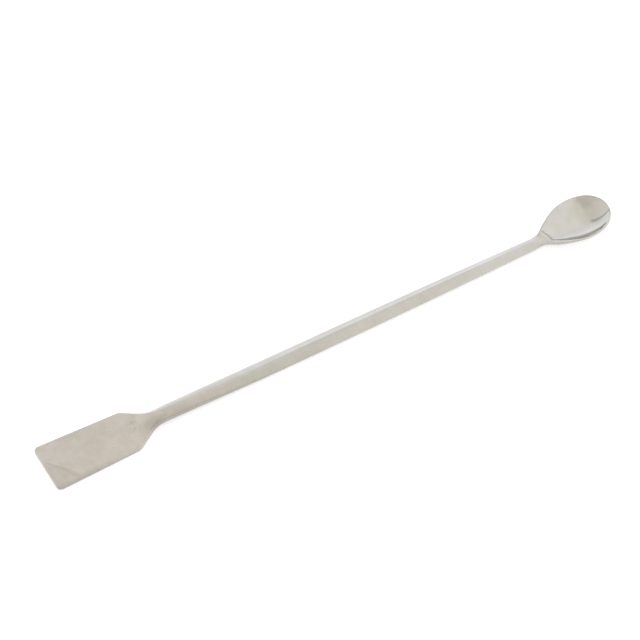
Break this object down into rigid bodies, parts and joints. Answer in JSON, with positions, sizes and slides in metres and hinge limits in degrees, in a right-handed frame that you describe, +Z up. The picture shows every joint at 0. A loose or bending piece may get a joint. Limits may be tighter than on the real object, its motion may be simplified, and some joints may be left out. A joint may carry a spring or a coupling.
{
  "type": "laboratory spatula",
  "caption": "Laboratory spatula for moving powders: a flat square-ended blade at one end, a slim stem, and a shallow egg-shaped scoop at the other.",
  "frame": {"origin": "centre of the length and width, on the plane that the blade's underside rests on", "axes": "+X along the stem from the blade to the scoop, +Y across the blade, +Z up, the way the scoop opens"},
  "size_m": [0.2, 0.0172, 0.0047],
  "materials": {
    "steel": "satin stainless steel on the blade and stem, polished in the scoop"
  },
  "bodies": {
    "root": {"spatula": "steel"}
  },
  "joints": []
}
